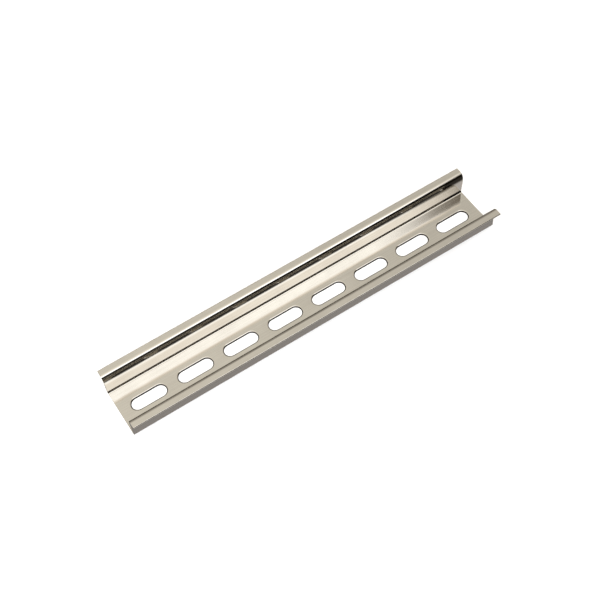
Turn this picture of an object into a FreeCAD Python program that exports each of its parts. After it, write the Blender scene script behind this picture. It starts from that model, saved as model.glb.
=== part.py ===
import FreeCAD, Part
import os
import PartDesign
import Sketcher

# Top-hat mounting rail, deep kind: one strip of thin steel sheet, punched with a row of
# obround slots and rolled through four bends into a channel with two flanges.
# +X runs along the rail, +Z up out of the channel, and the origin is at the middle of
# the web's underside. All sizes are in millimetres.

sizes = [
    ("railLength", "205", "cut length"),
    ("flangeSpan", "35", "over the outer edges of both flanges"),
    ("channelWidth", "27", "over the outsides of both walls"),
    ("railDepth", "15", "web underside to flange top"),
    ("sheetGauge", "1", "sheet thickness"),
    ("bendShare", "0.375", "inside bend radius, as a share of a flange's overhang"),
    ("slotLength", "18", "slot, end to end"),
    ("slotWidth", "6.2", "slot, across"),
    ("slotPitch", "25", "slot centre to slot centre"),
    ("endLand", "4", "least web left between a slot and a cut end"),
    ("slotRollOver", "0.35", "rounding the punch leaves round a slot's mouth"),
    ("edgeBreak", "0.2", "rounding on the strip's two slit edges"),
]

derived = [
    ("bendInside", "=(flangeSpan - channelWidth) / 2 * bendShare", "inside radius of every bend"),
    ("slotCount", "=floor((railLength - 2 * endLand - slotLength) / slotPitch) + 1", "slots"),
    ("slotStraight", "=slotLength - slotWidth", "between a slot's two end centres"),
    ("firstCentre", "=(slotPitch * (slotCount - 1) + slotStraight) / 2", "origin to first end"),
]

# how close, in millimetres, an edge has to lie to where it is looked for
nearly = 0.001

doc = FreeCAD.newDocument("MountingRail")


def fillSheet():
    sheet = doc.addObject("Spreadsheet::Sheet", "dims")
    for row, (alias, value, note) in enumerate(sizes + derived, start=1):
        sheet.set("A%d" % row, alias)
        sheet.setAlias("B%d" % row, alias)
        sheet.set("B%d" % row, value)
        sheet.set("C%d" % row, note)
    doc.recompute()
    return sheet


def originFeature(body, role):
    for feature in body.Origin.OriginFeatures:
        if feature.Role == role:
            return feature
    raise RuntimeError("no origin feature " + role)


def planeSketch(body, name, role):
    sketch = body.newObject("Sketcher::SketchObject", name)
    sketch.AttachmentSupport = (originFeature(body, role), [""])
    sketch.MapMode = "FlatFace"
    return sketch


def vec(x, y):
    return FreeCAD.Vector(x, y, 0)


def line(sketch, start, end):
    return sketch.addGeometry(Part.LineSegment(vec(*start), vec(*end)), False)


def arc(sketch, centre, radius, fromDeg, toDeg):
    circle = Part.Circle(vec(*centre), FreeCAD.Vector(0, 0, 1), radius)
    start = FreeCAD.Units.Quantity(fromDeg, FreeCAD.Units.Angle).getValueAs("rad").Value
    end = FreeCAD.Units.Quantity(toDeg, FreeCAD.Units.Angle).getValueAs("rad").Value
    return sketch.addGeometry(Part.ArcOfCircle(circle, start, end), False)


def join(sketch, kind, first, firstEnd, second, secondEnd):
    sketch.addConstraint(Sketcher.Constraint(kind, first, firstEnd, second, secondEnd))


def drive(sketch, name, constraint, expression):
    index = sketch.addConstraint(constraint)
    sketch.renameConstraint(index, name)
    sketch.setExpression("Constraints." + name, expression)


# Half of the cross-section, on the far side of the middle plane: web, bend, wall, bend, flange.
# Both arcs of a bend share a centre, so the sheet keeps one thickness all the way round.
def drawHalfSection(sketch, dims):
    gauge = dims.sheetGauge
    inside = dims.bendInside
    outside = inside + gauge
    wallOut = dims.channelWidth / 2
    wallIn = wallOut - gauge
    edge = dims.flangeSpan / 2
    top = dims.railDepth
    lowBend = (wallOut - outside, outside)
    highBend = (wallOut + inside, top - outside)

    webUnder = line(sketch, (0, 0), (lowBend[0], 0))
    lowOuter = arc(sketch, lowBend, outside, -90, 0)
    wallOuter = line(sketch, (wallOut, outside), (wallOut, highBend[1]))
    highInner = arc(sketch, highBend, inside, 90, 180)
    flangeUnder = line(sketch, (highBend[0], top - gauge), (edge, top - gauge))
    slitEdge = line(sketch, (edge, top - gauge), (edge, top))
    flangeTop = line(sketch, (edge, top), (highBend[0], top))
    highOuter = arc(sketch, highBend, outside, 90, 180)
    wallInner = line(sketch, (wallIn, highBend[1]), (wallIn, lowBend[1]))
    lowInner = arc(sketch, lowBend, inside, -90, 0)
    webTop = line(sketch, (lowBend[0], gauge), (0, gauge))
    middle = line(sketch, (0, gauge), (0, 0))

    join(sketch, "Tangent", webUnder, 2, lowOuter, 1)
    join(sketch, "Tangent", lowOuter, 2, wallOuter, 1)
    join(sketch, "Tangent", wallOuter, 2, highInner, 2)
    join(sketch, "Tangent", highInner, 1, flangeUnder, 1)
    join(sketch, "Coincident", flangeUnder, 2, slitEdge, 1)
    join(sketch, "Coincident", slitEdge, 2, flangeTop, 1)
    join(sketch, "Tangent", flangeTop, 2, highOuter, 1)
    join(sketch, "Tangent", highOuter, 2, wallInner, 1)
    join(sketch, "Tangent", wallInner, 2, lowInner, 2)
    join(sketch, "Tangent", lowInner, 1, webTop, 1)
    join(sketch, "Coincident", webTop, 2, middle, 1)
    join(sketch, "Coincident", middle, 2, webUnder, 1)
    join(sketch, "Coincident", webUnder, 1, -1, 1)
    join(sketch, "Coincident", lowOuter, 3, lowInner, 3)
    join(sketch, "Coincident", highOuter, 3, highInner, 3)
    for level in (webUnder, flangeUnder, flangeTop, webTop):
        sketch.addConstraint(Sketcher.Constraint("Horizontal", level))
    for upright in (wallOuter, slitEdge, wallInner, middle):
        sketch.addConstraint(Sketcher.Constraint("Vertical", upright))
    sketch.addConstraint(Sketcher.Constraint("Equal", lowInner, highInner))

    bend = Sketcher.Constraint("Radius", lowInner, inside)
    drive(sketch, "bend", bend, "dims.bendInside")
    wall = Sketcher.Constraint("DistanceX", -1, 1, wallOuter, 1, wallOut)
    drive(sketch, "wall", wall, "dims.channelWidth / 2")
    span = Sketcher.Constraint("DistanceX", -1, 1, slitEdge, 1, edge)
    drive(sketch, "span", span, "dims.flangeSpan / 2")
    depth = Sketcher.Constraint("DistanceY", -1, 1, slitEdge, 2, top)
    drive(sketch, "depth", depth, "dims.railDepth")
    thickness = Sketcher.Constraint("DistanceY", -1, 1, middle, 1, gauge)
    drive(sketch, "gauge", thickness, "dims.sheetGauge")


# One slot: two straight sides and two half-round ends, nearest the rail's -X end.
def drawSlot(sketch, dims):
    radius = dims.slotWidth / 2
    left = -dims.firstCentre
    right = left + dims.slotStraight

    lower = line(sketch, (left, -radius), (right, -radius))
    rightEnd = arc(sketch, (right, 0), radius, -90, 90)
    upper = line(sketch, (right, radius), (left, radius))
    leftEnd = arc(sketch, (left, 0), radius, 90, 270)

    join(sketch, "Tangent", lower, 2, rightEnd, 1)
    join(sketch, "Tangent", rightEnd, 2, upper, 1)
    join(sketch, "Tangent", upper, 2, leftEnd, 1)
    join(sketch, "Tangent", leftEnd, 2, lower, 1)
    sketch.addConstraint(Sketcher.Constraint("PointOnObject", leftEnd, 3, -1))
    sketch.addConstraint(Sketcher.Constraint("PointOnObject", rightEnd, 3, -1))
    sketch.addConstraint(Sketcher.Constraint("Equal", leftEnd, rightEnd))

    endRadius = Sketcher.Constraint("Radius", leftEnd, radius)
    drive(sketch, "slotEnd", endRadius, "dims.slotWidth / 2")
    straight = Sketcher.Constraint("DistanceX", leftEnd, 3, rightEnd, 3, dims.slotStraight)
    drive(sketch, "straight", straight, "dims.slotStraight")
    first = Sketcher.Constraint("DistanceX", leftEnd, 3, -1, 1, dims.firstCentre)
    drive(sketch, "first", first, "dims.firstCentre")


# Edges of a shape whose ends and middle all satisfy a test, by name.
def edgesWhere(shape, test):
    names = []
    for number, edge in enumerate(shape.Edges, start=1):
        points = edge.discretize(Number=3)
        if all(test(point) for point in points):
            names.append("Edge%d" % number)
    return names


def roundEdges(body, name, base, test, expression):
    names = edgesWhere(base.Shape, test)
    if not names:
        raise RuntimeError("no edges for " + name)
    feature = body.newObject("PartDesign::Fillet", name)
    feature.Base = (base, names)
    feature.setExpression("Radius", expression)
    doc.recompute()
    return feature


def makeRail(dims):
    body = doc.addObject("PartDesign::Body", "rail")
    body.Label = "rail"

    section = planeSketch(body, "halfSection", "YZ_Plane")
    drawHalfSection(section, dims)
    half = body.newObject("PartDesign::Pad", "halfRail")
    half.Profile = section
    half.SideType = "Symmetric"
    half.setExpression("Length", "dims.railLength")
    doc.recompute()

    whole = body.newObject("PartDesign::Mirrored", "wholeRail")
    whole.Originals = [half]
    whole.MirrorPlane = (originFeature(body, "XZ_Plane"), [""])
    body.Tip = whole
    doc.recompute()

    outline = planeSketch(body, "slotOutline", "XY_Plane")
    drawSlot(outline, dims)
    slot = body.newObject("PartDesign::Pocket", "firstSlot")
    slot.Profile = outline
    slot.Type = "ThroughAll"
    slot.Reversed = True
    doc.recompute()
    if slot.Shape.Volume > whole.Shape.Volume - nearly:
        raise RuntimeError("the slot cuts nothing")

    row = body.newObject("PartDesign::LinearPattern", "slotRow")
    row.Originals = [slot]
    row.Direction = (outline, ["H_Axis"])
    row.Mode = "Spacing"
    row.setExpression("Offset", "dims.slotPitch")
    row.setExpression("Occurrences", "dims.slotCount")
    body.Tip = row
    doc.recompute()

    # the punch enters from inside the channel, so the rounded mouths face up
    webTop = dims.sheetGauge
    slotSide = dims.slotWidth / 2 + nearly
    cutEnd = dims.railLength / 2 - nearly

    def onSlotMouth(point):
        onWebTop = abs(point.z - webTop) < nearly
        return onWebTop and abs(point.y) < slotSide and abs(point.x) < cutEnd

    mouths = roundEdges(body, "slotMouths", row, onSlotMouth, "dims.slotRollOver")

    def onSlitEdge(point):
        return abs(abs(point.y) - dims.flangeSpan / 2) < nearly

    def fullLength(shape, name):
        return shape.getElement(name).Length > dims.railLength - nearly

    onSlits = edgesWhere(mouths.Shape, onSlitEdge)
    slit = body.newObject("PartDesign::Fillet", "slitEdges")
    slit.Base = (mouths, [name for name in onSlits if fullLength(mouths.Shape, name)])
    slit.setExpression("Radius", "dims.edgeBreak")
    body.Tip = slit
    doc.recompute()
    return body


def checkDocument(parts):
    for item in doc.Objects:
        if "Invalid" in item.State or "Error" in item.State:
            raise RuntimeError("%s failed: %s" % (item.Name, item.State))
    for body in parts:
        if body.Shape.isNull() or not body.Shape.isValid():
            raise RuntimeError(body.Label + " has no valid shape")


dims = fillSheet()
rail = makeRail(dims)
checkDocument([rail])

box = rail.Shape.BoundBox
print("rail %.2f x %.2f x %.2f mm" % (box.XLength, box.YLength, box.ZLength))
print("volume %.2f mm3, slots %d" % (rail.Shape.Volume, dims.slotCount))
print("solids %d" % len(rail.Shape.Solids))

os.makedirs("parts", exist_ok=True)
rail.Shape.exportStep("parts/" + rail.Label + ".step")
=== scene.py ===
import math

import bpy
from mathutils import Matrix, Vector


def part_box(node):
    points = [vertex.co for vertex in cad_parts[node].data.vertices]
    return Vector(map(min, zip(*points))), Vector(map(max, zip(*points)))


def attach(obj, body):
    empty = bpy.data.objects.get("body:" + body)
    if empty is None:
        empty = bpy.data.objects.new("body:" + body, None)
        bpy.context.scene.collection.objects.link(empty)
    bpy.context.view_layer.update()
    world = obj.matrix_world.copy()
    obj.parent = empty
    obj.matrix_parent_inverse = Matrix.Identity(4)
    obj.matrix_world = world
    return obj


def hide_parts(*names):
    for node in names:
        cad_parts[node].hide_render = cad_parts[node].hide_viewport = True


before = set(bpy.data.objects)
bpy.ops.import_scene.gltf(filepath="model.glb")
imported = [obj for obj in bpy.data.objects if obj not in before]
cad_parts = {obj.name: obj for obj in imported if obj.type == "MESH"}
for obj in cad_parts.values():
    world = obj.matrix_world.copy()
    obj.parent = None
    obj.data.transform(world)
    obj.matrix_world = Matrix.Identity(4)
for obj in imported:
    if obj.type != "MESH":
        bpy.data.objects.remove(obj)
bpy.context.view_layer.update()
railLow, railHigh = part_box("rail")
mm = 0.001
print("frame loaded")


# Small helpers for node trees

def addNode(tree, kind, **settings):
    node = tree.nodes.new(kind)
    for name, value in settings.items():
        setattr(node, name, value)
    return node


def feed(tree, socket, value):
    if isinstance(value, bpy.types.NodeSocket):
        tree.links.new(value, socket)
    else:
        socket.default_value = value


def calc(tree, operation, a, b=0.0):
    node = addNode(tree, "ShaderNodeMath", operation=operation)
    feed(tree, node.inputs[0], a)
    feed(tree, node.inputs[1], b)
    return node.outputs[0]


def joinXYZ(tree, x=0.0, y=0.0, z=0.0):
    node = addNode(tree, "ShaderNodeCombineXYZ")
    for socket, value in zip(node.inputs, (x, y, z)):
        feed(tree, socket, value)
    return node.outputs[0]


def splitXYZ(tree, vector):
    node = addNode(tree, "ShaderNodeSeparateXYZ")
    feed(tree, node.inputs[0], vector)
    return node.outputs


def mix(tree, factor, first, second, dataType="RGBA", blend="MIX"):
    node = addNode(tree, "ShaderNodeMix", data_type=dataType, blend_type=blend)
    firstSocket, secondSocket, result = (6, 7, 2) if dataType == "RGBA" else (2, 3, 0)
    feed(tree, node.inputs[0], factor)
    feed(tree, node.inputs[firstSocket], first)
    feed(tree, node.inputs[secondSocket], second)
    return node.outputs[result]


def mapRange(tree, value, fromSpan, toSpan, easing="LINEAR"):
    node = addNode(tree, "ShaderNodeMapRange", interpolation_type=easing)
    feed(tree, node.inputs["Value"], value)
    node.inputs["From Min"].default_value, node.inputs["From Max"].default_value = fromSpan
    node.inputs["To Min"].default_value, node.inputs["To Max"].default_value = toSpan
    return node.outputs[0]


def pick(tree, index, values):
    node = addNode(tree, "GeometryNodeIndexSwitch", data_type="FLOAT")
    while len(node.index_switch_items) < len(values):
        node.index_switch_items.new()
    feed(tree, node.inputs[0], index)
    for socket, value in zip(node.inputs[1:], values):
        feed(tree, socket, value)
    return node.outputs[0]


def transform(tree, geometry, move=(0, 0, 0), turn=(0, 0, 0), scale=(1, 1, 1)):
    node = addNode(tree, "GeometryNodeTransform")
    feed(tree, node.inputs["Geometry"], geometry)
    feed(tree, node.inputs["Translation"], move)
    feed(tree, node.inputs["Rotation"], turn)
    feed(tree, node.inputs["Scale"], scale)
    return node.outputs[0]


def flip(tree, mesh):
    node = addNode(tree, "GeometryNodeFlipFaces")
    feed(tree, node.inputs["Mesh"], mesh)
    return node.outputs[0]


def join(tree, *parts):
    node = addNode(tree, "GeometryNodeJoinGeometry")
    for part in parts:
        tree.links.new(part, node.inputs[0])
    return node.outputs[0]


def closedCurve(tree, points):
    curve = addNode(tree, "GeometryNodePointsToCurves")
    feed(tree, curve.inputs["Points"], points)
    closed = addNode(tree, "GeometryNodeSetSplineCyclic")
    feed(tree, closed.inputs[0], curve.outputs[0])
    feed(tree, closed.inputs["Cyclic"], True)
    return closed.outputs[0]


def fill(tree, curve):
    node = addNode(tree, "GeometryNodeFillCurve")
    feed(tree, node.inputs["Curve"], curve)
    return node.outputs[0]


def newTree(name, inputs):
    tree = bpy.data.node_groups.new(name, "GeometryNodeTree")
    for label, (kind, default) in inputs.items():
        socket = tree.interface.new_socket(label, in_out="INPUT", socket_type=kind)
        if default is not None:
            socket.default_value = default
    return tree


# What a user would change on the rail: lengths in metres, and counts
railSizes = {
    "Length": railHigh.x - railLow.x,
    "Flange Span": railHigh.y - railLow.y,
    "Channel Width": 27 * mm,
    "Depth": railHigh.z - railLow.z,
    "Gauge": 1 * mm,
    "Web Bend": 0.9 * mm,       # inside radius between web and wall
    "Flange Bend": 1.5 * mm,    # inside radius between wall and flange
    "Wall Bow": 0.5 * mm,       # the rolls leave the walls bowed a little into the channel
    "Wall Flare": 0.15 * mm,    # and leaning out a little under the flanges
    "Bow Height": 10.7 * mm,    # where the bow is deepest, above the floor
    "Bow Radius": 16 * mm,      # of the soft turn there
    "Slit Edge": 0.35 * mm,
    "Slot Length": 18 * mm,
    "Slot Width": 6.2 * mm,
    "Slot Pitch": 25 * mm,
    "Mouth Radius": 0.8 * mm,
    "Slot Count": 8,
    "Bend Steps": 10,       # facets around each bend
    "End Steps": 24,        # facets around each half-round slot end
    "Mouth Steps": 5,
}
weldGap = 0.002 * mm
shadedMouthShare = 0.75         # the lower part of a slot's rounded mouth is dull like the punched wall and gets its near-black painted shade
facingShare = 0.3       # a normal's part along an axis from which a face counts as facing that way
sharpAngle = math.radians(40)
uprightTurn = (math.pi / 2, 0, math.pi / 2)     # drawing X, Y become rail Y, Z


def slotOutlineTree():
    # Where point Index of a slot's outline lies, counted from the right end's lower corner
    tree = newTree("Slot Outline", {
        "Index": ("NodeSocketInt", 0),
        "Straight": ("NodeSocketFloat", 0.0),
        "Radius": ("NodeSocketFloat", 0.0),
        "End Steps": ("NodeSocketInt", 24),
    })
    tree.interface.new_socket("Across", in_out="OUTPUT", socket_type="NodeSocketFloat")
    tree.interface.new_socket("Up", in_out="OUTPUT", socket_type="NodeSocketFloat")
    given = addNode(tree, "NodeGroupInput").outputs
    perEnd = calc(tree, "ADD", given["End Steps"], 1)
    onLeft = calc(tree, "GREATER_THAN", given["Index"], calc(tree, "SUBTRACT", perEnd, 0.5))
    step = calc(tree, "SUBTRACT", given["Index"], calc(tree, "MULTIPLY", onLeft, perEnd))
    share = calc(tree, "DIVIDE", step, given["End Steps"])
    halfTurns = calc(tree, "ADD", calc(tree, "SUBTRACT", share, 0.5), onLeft)
    angle = calc(tree, "MULTIPLY", halfTurns, math.pi)
    side = calc(tree, "SUBTRACT", 0.5, onLeft)
    centre = calc(tree, "MULTIPLY", side, given["Straight"])
    out = addNode(tree, "NodeGroupOutput")
    acrossEnd = calc(tree, "MULTIPLY", given["Radius"], calc(tree, "COSINE", angle))
    feed(tree, out.inputs["Across"], calc(tree, "ADD", centre, acrossEnd))
    feed(tree, out.inputs["Up"], calc(tree, "MULTIPLY", given["Radius"], calc(tree, "SINE", angle)))
    return tree


def railTree():
    kinds = {name: ("NodeSocketInt" if isinstance(value, int) else "NodeSocketFloat", value)
             for name, value in railSizes.items()}
    kinds["Material"] = ("NodeSocketMaterial", None)
    tree = newTree("Rolled Rail", kinds)
    tree.interface.new_socket("Rail", in_out="OUTPUT", socket_type="NodeSocketGeometry")
    given = addNode(tree, "NodeGroupInput").outputs

    # The section, one half, drawn flat: out under the web, up the wall, round the flange and back
    gauge = given["Gauge"]
    depth = given["Depth"]
    webBend = given["Web Bend"]
    webShoulder = calc(tree, "ADD", webBend, gauge)
    halfSpan = calc(tree, "DIVIDE", given["Flange Span"], 2)
    wallOut = calc(tree, "DIVIDE", given["Channel Width"], 2)
    wallIn = calc(tree, "SUBTRACT", wallOut, gauge)
    seam = calc(tree, "SUBTRACT", wallIn, calc(tree, "MULTIPLY", webBend, 2))
    underFlange = calc(tree, "SUBTRACT", depth, gauge)
    slit = given["Slit Edge"]
    bowOut = calc(tree, "SUBTRACT", wallOut, given["Wall Bow"])
    bowIn = calc(tree, "SUBTRACT", wallIn, given["Wall Bow"])
    topOut = calc(tree, "ADD", wallOut, given["Wall Flare"])
    topIn = calc(tree, "ADD", wallIn, given["Wall Flare"])
    bowHeight = given["Bow Height"]
    bowRadius = given["Bow Radius"]
    index = addNode(tree, "GeometryNodeInputIndex").outputs[0]
    across = (seam, wallOut, bowOut, topOut, halfSpan, halfSpan, topIn, bowIn, wallIn, seam)
    up = (0.0, 0.0, bowHeight, underFlange, underFlange, depth, depth, bowHeight, gauge, gauge)
    goingOut = (0.0, webShoulder, bowRadius, given["Flange Bend"], slit)
    comingBack = (slit, calc(tree, "ADD", given["Flange Bend"], gauge), bowRadius, webBend, 0.0)
    corners = addNode(tree, "GeometryNodePoints")
    feed(tree, corners.inputs["Count"], len(across))
    cornerPlace = joinXYZ(tree, pick(tree, index, across), pick(tree, index, up))
    feed(tree, corners.inputs["Position"], cornerPlace)
    halfOpen = addNode(tree, "GeometryNodePointsToCurves")
    feed(tree, halfOpen.inputs["Points"], corners.outputs[0])
    bends = addNode(tree, "GeometryNodeFilletCurve", mode="POLY")
    feed(tree, bends.inputs["Curve"], halfOpen.outputs[0])
    feed(tree, bends.inputs["Count"], given["Bend Steps"])
    feed(tree, bends.inputs["Radius"], pick(tree, index, goingOut + comingBack))
    halfSection = bends.outputs[0]

    # The strip: the section pulled along X, and a cap on each cut end
    halfLength = calc(tree, "DIVIDE", given["Length"], 2)
    backHalf = calc(tree, "MULTIPLY", halfLength, -1)
    edgeLine = addNode(tree, "GeometryNodeCurveToMesh")
    feed(tree, edgeLine.inputs["Curve"], halfSection)
    upright = transform(tree, edgeLine.outputs[0], joinXYZ(tree, backHalf), uprightTurn)
    pull = addNode(tree, "GeometryNodeExtrudeMesh", mode="EDGES")
    feed(tree, pull.inputs["Mesh"], upright)
    feed(tree, pull.inputs["Offset"], joinXYZ(tree, 1.0))
    feed(tree, pull.inputs["Offset Scale"], given["Length"])
    closed = addNode(tree, "GeometryNodeSetSplineCyclic")
    feed(tree, closed.inputs[0], halfSection)
    feed(tree, closed.inputs["Cyclic"], True)
    halfCap = fill(tree, closed.outputs[0])
    webCap = addNode(tree, "GeometryNodeCurvePrimitiveQuadrilateral")
    feed(tree, webCap.inputs["Width"], calc(tree, "MULTIPLY", seam, 2))
    feed(tree, webCap.inputs["Height"], gauge)
    halfGauge = calc(tree, "DIVIDE", gauge, 2)
    webCapUp = transform(tree, fill(tree, webCap.outputs[0]), joinXYZ(tree, 0.0, halfGauge))
    rightCap = transform(tree, halfCap, joinXYZ(tree, halfLength), uprightTurn)
    leftCap = flip(tree, transform(tree, halfCap, joinXYZ(tree, backHalf), uprightTurn))
    nearHalf = join(tree, flip(tree, pull.outputs[0]), rightCap, leftCap)
    farHalf = flip(tree, transform(tree, nearHalf, scale=(1, -1, 1)))
    webRight = transform(tree, webCapUp, joinXYZ(tree, halfLength), uprightTurn)
    webLeft = flip(tree, transform(tree, webCapUp, joinXYZ(tree, backHalf), uprightTurn))

    # Slots along the pitch, cut out of the web's two faces
    slotRadius = calc(tree, "DIVIDE", given["Slot Width"], 2)
    straight = calc(tree, "SUBTRACT", given["Slot Length"], given["Slot Width"])
    mouth = given["Mouth Radius"]
    mouthRadius = calc(tree, "ADD", slotRadius, mouth)
    outlineGroup = slotOutlineTree()
    perOutline = calc(tree, "MULTIPLY", calc(tree, "ADD", given["End Steps"], 1), 2)

    def outlinePlace(point, radius):
        node = addNode(tree, "GeometryNodeGroup", node_tree=outlineGroup)
        feed(tree, node.inputs["Index"], point)
        feed(tree, node.inputs["Straight"], straight)
        feed(tree, node.inputs["Radius"], radius)
        feed(tree, node.inputs["End Steps"], given["End Steps"])
        return node.outputs["Across"], node.outputs["Up"]

    row = addNode(tree, "GeometryNodeMeshLine", mode="OFFSET")
    rowHalf = calc(tree, "MULTIPLY", calc(tree, "SUBTRACT", given["Slot Count"], 1), -0.5)
    feed(tree, row.inputs["Count"], given["Slot Count"])
    rowStart = calc(tree, "MULTIPLY", rowHalf, given["Slot Pitch"])
    feed(tree, row.inputs["Start Location"], joinXYZ(tree, rowStart))
    feed(tree, row.inputs["Offset"], joinXYZ(tree, given["Slot Pitch"]))

    def alongRow(shape):
        placed = addNode(tree, "GeometryNodeInstanceOnPoints")
        feed(tree, placed.inputs["Points"], row.outputs[0])
        feed(tree, placed.inputs["Instance"], shape)
        real = addNode(tree, "GeometryNodeRealizeInstances")
        feed(tree, real.inputs[0], placed.outputs[0])
        return real.outputs[0]

    def webFace(radius, height):
        points = addNode(tree, "GeometryNodePoints")
        feed(tree, points.inputs["Count"], perOutline)
        feed(tree, points.inputs["Position"], joinXYZ(tree, *outlinePlace(index, radius)))
        border = addNode(tree, "GeometryNodeCurvePrimitiveQuadrilateral")
        feed(tree, border.inputs["Width"], given["Length"])
        feed(tree, border.inputs["Height"], calc(tree, "MULTIPLY", seam, 2))
        holes = alongRow(closedCurve(tree, points.outputs[0]))
        face = fill(tree, join(tree, border.outputs[0], holes))
        return transform(tree, face, joinXYZ(tree, 0.0, 0.0, height))

    webTop = webFace(mouthRadius, gauge)
    webUnder = flip(tree, webFace(slotRadius, 0.0))

    # The wall of a slot: one ring per level, level 0 below and the rest round the mouth
    rings = calc(tree, "ADD", given["Mouth Steps"], 2)
    grid = addNode(tree, "GeometryNodeMeshGrid")
    feed(tree, grid.inputs["Vertices X"], calc(tree, "ADD", perOutline, 1))
    feed(tree, grid.inputs["Vertices Y"], rings)
    level = calc(tree, "MODULO", index, rings)
    around = calc(tree, "FLOOR", calc(tree, "DIVIDE", calc(tree, "ADD", index, 0.5), rings))
    onOutline = calc(tree, "MODULO", around, perOutline)
    lifted = calc(tree, "MINIMUM", level, 1)
    mouthLevel = calc(tree, "MAXIMUM", calc(tree, "SUBTRACT", level, 1), 0)
    lean = calc(tree, "DIVIDE", mouthLevel, given["Mouth Steps"])
    leanAngle = calc(tree, "MULTIPLY", lean, math.pi / 2)
    flare = calc(tree, "MULTIPLY", mouth, calc(tree, "SUBTRACT", 1, calc(tree, "COSINE", leanAngle)))
    rise = calc(tree, "MULTIPLY", mouth, calc(tree, "SINE", leanAngle))
    wallTop = calc(tree, "SUBTRACT", gauge, mouth)
    ringHeight = calc(tree, "ADD", calc(tree, "MULTIPLY", lifted, wallTop), rise)
    wallAcross, wallUp = outlinePlace(onOutline, calc(tree, "ADD", slotRadius, flare))
    wall = addNode(tree, "GeometryNodeSetPosition")
    feed(tree, wall.inputs["Geometry"], grid.outputs["Mesh"])
    feed(tree, wall.inputs["Position"], joinXYZ(tree, wallAcross, wallUp, ringHeight))
    place = splitXYZ(tree, addNode(tree, "GeometryNodeInputPosition").outputs[0])
    shadedUpTo = calc(tree, "ADD", wallTop, calc(tree, "MULTIPLY", mouth, shadedMouthShare))
    # the slot wall and the lower mouth get the near-black painted shade in the material
    shearedAndShaded = addNode(tree, "GeometryNodeStoreNamedAttribute", data_type="FLOAT", domain="FACE")
    feed(tree, shearedAndShaded.inputs["Geometry"], flip(tree, wall.outputs[0]))
    feed(tree, shearedAndShaded.inputs["Name"], "shearedAndShaded")
    feed(tree, shearedAndShaded.inputs["Value"], calc(tree, "LESS_THAN", place[2], shadedUpTo))
    walls = alongRow(shearedAndShaded.outputs[0])

    # Weld everything into one closed skin and keep the cut edges crisp
    weld = addNode(tree, "GeometryNodeMergeByDistance")
    skin = join(tree, nearHalf, farHalf, webRight, webLeft, webTop, webUnder, walls)
    feed(tree, weld.inputs["Geometry"], skin)
    feed(tree, weld.inputs["Distance"], weldGap)
    soft = addNode(tree, "GeometryNodeSetShadeSmooth", domain="FACE")
    feed(tree, soft.inputs[0], weld.outputs[0])
    feed(tree, soft.inputs["Shade Smooth"], True)
    edge = addNode(tree, "GeometryNodeInputMeshEdgeAngle")
    crisp = addNode(tree, "GeometryNodeSetShadeSmooth", domain="EDGE")
    feed(tree, crisp.inputs[0], soft.outputs[0])
    cutEdge = calc(tree, "GREATER_THAN", edge.outputs["Unsigned Angle"], sharpAngle)
    feed(tree, crisp.inputs["Selection"], cutEdge)
    feed(tree, crisp.inputs["Shade Smooth"], False)

    # Duller and darker under the web and flanges, and outside the walls: the roughness is the side that
    # lay on the rolls, the darker tone is painted shade for the shaded floor these faces mirror
    facing = splitXYZ(tree, addNode(tree, "GeometryNodeInputNormal").outputs[0])
    fromMiddle = calc(tree, "ABSOLUTE", place[1])
    outward = calc(tree, "MULTIPLY", facing[1], calc(tree, "SIGN", place[1]))
    facesOut = calc(tree, "GREATER_THAN", outward, facingShare)
    notFlange = calc(tree, "LESS_THAN", fromMiddle, calc(tree, "SUBTRACT", halfSpan, gauge))
    notSlot = calc(tree, "GREATER_THAN", fromMiddle, mouthRadius)
    outside = calc(tree, "MULTIPLY", facesOut, calc(tree, "MULTIPLY", notFlange, notSlot))
    under = calc(tree, "LESS_THAN", facing[2], -facingShare)
    # marks the faces that get the duller finish and the painted shade
    dullShadedSide = addNode(tree, "GeometryNodeStoreNamedAttribute", data_type="FLOAT", domain="FACE")
    feed(tree, dullShadedSide.inputs["Geometry"], crisp.outputs[0])
    feed(tree, dullShadedSide.inputs["Name"], "dullShadedSide")
    feed(tree, dullShadedSide.inputs["Value"], calc(tree, "MAXIMUM", outside, under))
    finish = addNode(tree, "GeometryNodeSetMaterial")
    feed(tree, finish.inputs["Geometry"], dullShadedSide.outputs[0])
    feed(tree, finish.inputs["Material"], given["Material"])
    out = addNode(tree, "NodeGroupOutput")
    feed(tree, out.inputs["Rail"], finish.outputs[0])
    return tree


def makeRail(material):
    tree = railTree()
    holder = bpy.data.objects.new("railBuild", bpy.data.meshes.new("railBuild"))
    bpy.context.scene.collection.objects.link(holder)
    maker = holder.modifiers.new("Rolled Rail", "NODES")
    maker.node_group = tree
    sockets = {item.name: item.identifier for item in tree.interface.items_tree if item.in_out == "INPUT"}
    for name, value in railSizes.items():
        maker[sockets[name]] = value
    maker[sockets["Material"]] = material
    flats = holder.modifiers.new("Flat faces keep their shine", "WEIGHTED_NORMAL")
    flats.mode = "FACE_AREA"
    flats.weight = 100
    flats.keep_sharp = True
    ready = holder.evaluated_get(bpy.context.evaluated_depsgraph_get())
    mesh = bpy.data.meshes.new_from_object(ready)
    mesh.name = "railStrip"
    rail = bpy.data.objects.new("railStrip", mesh)
    bpy.context.scene.collection.objects.link(rail)
    bpy.data.objects.remove(holder)
    return rail


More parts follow.
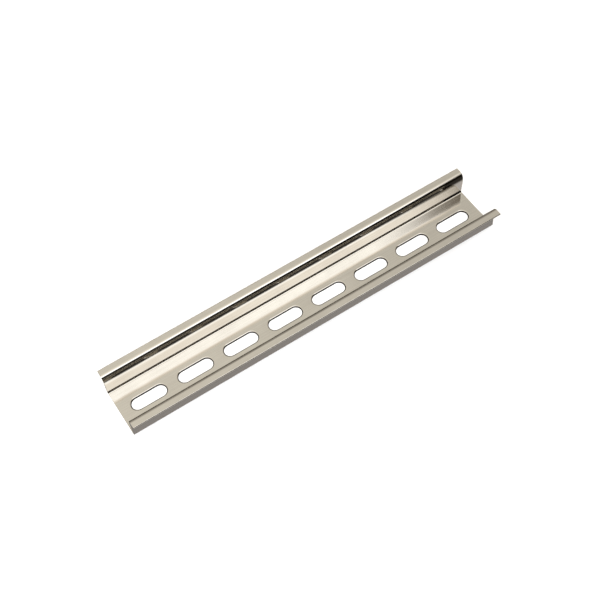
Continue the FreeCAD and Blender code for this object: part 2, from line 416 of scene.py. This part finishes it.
# What a user would change in the plating
platingLook = {
    "paleTone": (0.65, 0.621, 0.572, 1),
    "darkTone": (0.565, 0.537, 0.491, 1),
    "slotShadeTone": (0.06, 0.052, 0.045, 1),     # the dull walls that the punch leaves in a slot, painted near black as shade along the slot edges
    "slotWallRoughness": 0.45,
    # painted shade: the darker tone of the outer walls and undersides, for the shaded floor they mirror
    "paintedShadeTone": (0.43, 0.41, 0.385, 1),
    "dullSideRoughness": 0.22,
    "polishSpan": (0.05, 0.11),     # roughness of the plating, from its smoothest line to its roughest
    "streakShare": 0.5,     # how much of the paler and darker tone follows the roll lines
    "cloudSize": 14 * mm,
    "lineWidth": 0.5 * mm,
    "lineLength": 60 * mm,
    "mottleSize": 1.6 * mm,
    "mottleDepth": 0.002 * mm,
    "cloudDetail": 4,
    "fineDetail": 3,        # of the roll lines and the mottle
    "noiseSpan": (0.3, 0.7),    # the values that most of a noise lies between
}


def platedSteel():
    look = platingLook
    material = bpy.data.materials.new("platedSteel")
    material.use_nodes = True
    tree = material.node_tree
    shader = tree.nodes["Principled BSDF"]
    shader.inputs["Metallic"].default_value = 1.0
    where = addNode(tree, "ShaderNodeTexCoord").outputs["Object"]

    # Cloudy plating, fine lines from the rolls, and a faint mottle that breaks up reflections
    clouds = addNode(tree, "ShaderNodeTexNoise")
    feed(tree, clouds.inputs["Vector"], where)
    clouds.inputs["Scale"].default_value = 1 / look["cloudSize"]
    clouds.inputs["Detail"].default_value = look["cloudDetail"]
    lines = addNode(tree, "ShaderNodeTexNoise")
    along = addNode(tree, "ShaderNodeMapping")
    feed(tree, along.inputs["Vector"], where)
    perWidth = 1 / look["lineWidth"]
    along.inputs["Scale"].default_value = (1 / look["lineLength"], perWidth, perWidth)
    feed(tree, lines.inputs["Vector"], along.outputs[0])
    lines.inputs["Scale"].default_value = 1
    lines.inputs["Detail"].default_value = look["fineDetail"]
    mottle = addNode(tree, "ShaderNodeTexNoise")
    feed(tree, mottle.inputs["Vector"], where)
    mottle.inputs["Scale"].default_value = 1 / look["mottleSize"]
    mottle.inputs["Detail"].default_value = look["fineDetail"]

    shearedShadedMask = addNode(tree, "ShaderNodeAttribute", attribute_name="shearedAndShaded").outputs["Fac"]
    dullShadedMask = addNode(tree, "ShaderNodeAttribute", attribute_name="dullShadedSide").outputs["Fac"]
    cloudy = mapRange(tree, clouds.outputs["Fac"], look["noiseSpan"], (0, 1))
    streaky = mapRange(tree, lines.outputs["Fac"], look["noiseSpan"], (0, 1))
    paler = mix(tree, look["streakShare"], cloudy, streaky, "FLOAT")
    plating = mix(tree, paler, look["darkTone"], look["paleTone"])
    # painted shade on the outer walls and undersides
    bothTones = mix(tree, dullShadedMask, plating, look["paintedShadeTone"])
    # painted shade: near black on the slot walls and lower mouths
    feed(tree, shader.inputs["Base Color"], mix(tree, shearedShadedMask, bothTones, look["slotShadeTone"]))
    polish = mapRange(tree, lines.outputs["Fac"], look["noiseSpan"], look["polishSpan"])
    bothPolishes = mix(tree, dullShadedMask, polish, look["dullSideRoughness"], "FLOAT")
    roughness = mix(tree, shearedShadedMask, bothPolishes, look["slotWallRoughness"], "FLOAT")
    feed(tree, shader.inputs["Roughness"], roughness)
    bump = addNode(tree, "ShaderNodeBump")
    feed(tree, bump.inputs["Height"], mottle.outputs["Fac"])
    bump.inputs["Distance"].default_value = look["mottleDepth"]
    bump.inputs["Strength"].default_value = 1
    feed(tree, shader.inputs["Normal"], bump.outputs[0])
    return material


rail = makeRail(platedSteel())
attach(rail, "root")
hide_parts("rail")
print("rail made:", len(rail.data.polygons), "faces")


# The studio: a pale floor, soft light, brightest above the camera's side, and a lamp beside the camera
studio = {
    "floorSize": 4.0,
    "floorTone": (0.93, 0.93, 0.93, 1),
    "floorDarker": (0.91, 0.91, 0.91, 1),
    "floorRoughness": 0.9,
    "floorShine": 0.2,
    "floorGrain": 6,
    # light and its colour by the angle from straight up, in degrees: below zero behind the rail,
    # and past 90 what the metal mirrors in place of the floor
    "skyStops": (
        (-160, 0.16, (1.0, 0.92, 0.80)),
        (-125, 0.22, (1.0, 0.92, 0.80)),
        (-90, 0.29, (1.0, 0.92, 0.80)),
        (-68, 0.40, (1.0, 0.92, 0.80)),
        (-48, 0.62, (1.0, 0.94, 0.82)),
        (-34, 0.93, (1.0, 0.96, 0.86)),
        (-20, 0.98, (1.0, 0.96, 0.86)),
        (0, 1.25, (1.0, 0.96, 0.86)),
        (8, 1.45, (1.0, 0.96, 0.87)),
        (14, 1.60, (1.0, 0.97, 0.90)),
        (22, 1.85, (1.0, 0.98, 0.93)),
        (27, 2.45, (0.97, 0.97, 0.97)),
        (33, 2.85, (0.93, 0.96, 1.0)),
        (38.5, 2.85, (0.93, 0.96, 1.0)),
        (42, 0.05, (1.0, 0.92, 0.80)),
        (136, 0.05, (1.0, 0.92, 0.80)),
        (146, 0.78, (1.0, 0.96, 0.93)),
        (170, 0.78, (1.0, 0.96, 0.93)),
    ),
    "lampEdge": 26.5,       # where the soft light ends to the right, degrees from straight up
    "lampEdgeSoft": 2.5,
    "besideLamp": (0.14, 0.123, 0.10, 1),   # what is left of the light past that edge
    "lampBlend": (-8, 22),  # that edge comes in between these angles
    "backFall": (5, 30, 0.2),   # behind the rail the light falls off to the right: from, to, share lost
    "fillLampPlace": (-0.233, -0.423, 0.759),
    "fillLampSize": 0.35,
    "fillLampPower": 7.0,
}


def makeFloor():
    mesh = bpy.data.meshes.new("studioFloor")
    half = studio["floorSize"] / 2
    corners = [(-half, -half, 0), (half, -half, 0), (half, half, 0), (-half, half, 0)]
    mesh.from_pydata(corners, [], [(0, 1, 2, 3)])
    floor = bpy.data.objects.new("studioFloor", mesh)
    bpy.context.scene.collection.objects.link(floor)
    material = bpy.data.materials.new("palePaper")
    material.use_nodes = True
    tree = material.node_tree
    shader = tree.nodes["Principled BSDF"]
    shader.inputs["Roughness"].default_value = studio["floorRoughness"]
    shader.inputs["Specular IOR Level"].default_value = studio["floorShine"]
    grain = addNode(tree, "ShaderNodeTexNoise")
    feed(tree, grain.inputs["Vector"], addNode(tree, "ShaderNodeTexCoord").outputs["Object"])
    grain.inputs["Scale"].default_value = studio["floorGrain"]
    tone = mix(tree, grain.outputs["Fac"], studio["floorDarker"], studio["floorTone"])
    feed(tree, shader.inputs["Base Color"], tone)
    mesh.materials.append(material)
    floor.visible_glossy = False    # the metal mirrors none of it
    return floor


def makeSky():
    world = bpy.data.worlds.new("softStudio")
    world.use_nodes = True
    bpy.context.scene.world = world
    tree = world.node_tree
    sky = tree.nodes["Background"]
    x, y, z = splitXYZ(tree, addNode(tree, "ShaderNodeTexCoord").outputs["Generated"])
    towards = calc(tree, "ARCTAN2", calc(tree, "MULTIPLY", y, -1), z)
    ramp = addNode(tree, "ShaderNodeValToRGB")
    stops = ramp.color_ramp.elements
    strongest = max(power for angle, power, colour in studio["skyStops"])
    while len(stops) < len(studio["skyStops"]):
        stops.new(0.5)
    for stop, (angle, power, colour) in zip(stops, studio["skyStops"]):
        stop.position = angle / 360 + 0.5
        stop.color = [part * power / strongest for part in colour] + [1]
    feed(tree, ramp.inputs[0], calc(tree, "ADD", calc(tree, "DIVIDE", towards, 2 * math.pi), 0.5))

    def fade(value, start, end, most=1.0):
        span = (math.radians(start), math.radians(end))
        return mapRange(tree, value, span, (0, most), "SMOOTHSTEP")

    edge = studio["lampEdge"]
    soft = studio["lampEdgeSoft"]
    sideways = calc(tree, "ARCTAN2", x, z)
    overhead = calc(tree, "GREATER_THAN", z, 0)
    share = calc(tree, "MULTIPLY", fade(towards, *studio["lampBlend"]), overhead)
    lost = calc(tree, "MULTIPLY", fade(sideways, edge - soft, edge + soft), share)
    fallen = fade(sideways, *studio["backFall"])
    backLoss = calc(tree, "MULTIPLY", fallen, calc(tree, "SUBTRACT", 1, share))
    skyTone = mix(tree, lost, ramp.outputs[0], studio["besideLamp"], blend="MULTIPLY")
    feed(tree, sky.inputs["Color"], skyTone)
    kept = calc(tree, "SUBTRACT", 1, backLoss)
    feed(tree, sky.inputs["Strength"], calc(tree, "MULTIPLY", kept, strongest))
    bpy.context.scene.view_settings.view_transform = "Standard"


def makeFillLamp():
    data = bpy.data.lights.new("fillLamp", "AREA")
    data.size = studio["fillLampSize"]
    data.energy = studio["fillLampPower"]
    lamp = bpy.data.objects.new("fillLamp", data)
    place = Vector(studio["fillLampPlace"])
    lamp.matrix_world = Matrix.Translation(place) @ place.to_track_quat("Z", "Y").to_matrix().to_4x4()
    lamp.visible_glossy = False     # it lights the floor and isn't seen in the metal
    bpy.context.scene.collection.objects.link(lamp)


makeFloor()
makeSky()
makeFillLamp()
print("studio ready")


# The camera, read off the photo: angles in degrees, lengths in metres
camera = {
    "azimuth": -28.78,
    "elevation": 57.54,
    "roll": -5.06,          # the photo is turned a little
    "distance": 0.5414,
    "lookAt": (-0.00083, 0.00506, 0.0),
    "focalPixels": 1114.6,  # in a frame 600 pixels wide
    "framePixels": 600,
    "sensorWidth": 36,
    "clipStart": 0.01,
    "clipEnd": 20,
}


def makeCamera():
    a = math.radians(camera["azimuth"])
    e = math.radians(camera["elevation"])
    r = math.radians(camera["roll"])
    back = Vector((math.sin(a) * math.cos(e), -math.cos(a) * math.cos(e), math.sin(e)))
    right = Vector((math.cos(a), math.sin(a), 0))
    up = back.cross(right)
    rightTurned = right * math.cos(r) + up * math.sin(r)
    upTurned = up * math.cos(r) - right * math.sin(r)
    data = bpy.data.cameras.new("photoCamera")
    data.sensor_width = camera["sensorWidth"]
    data.lens = camera["focalPixels"] / camera["framePixels"] * camera["sensorWidth"]
    data.clip_start = camera["clipStart"]
    data.clip_end = camera["clipEnd"]
    cam = bpy.data.objects.new("photoCamera", data)
    turn = Matrix((rightTurned, upTurned, back)).transposed().to_4x4()
    cam.matrix_world = Matrix.Translation(Vector(camera["lookAt"]) + back * camera["distance"]) @ turn
    bpy.context.scene.collection.objects.link(cam)
    bpy.context.scene.camera = cam


makeCamera()
print("camera placed")
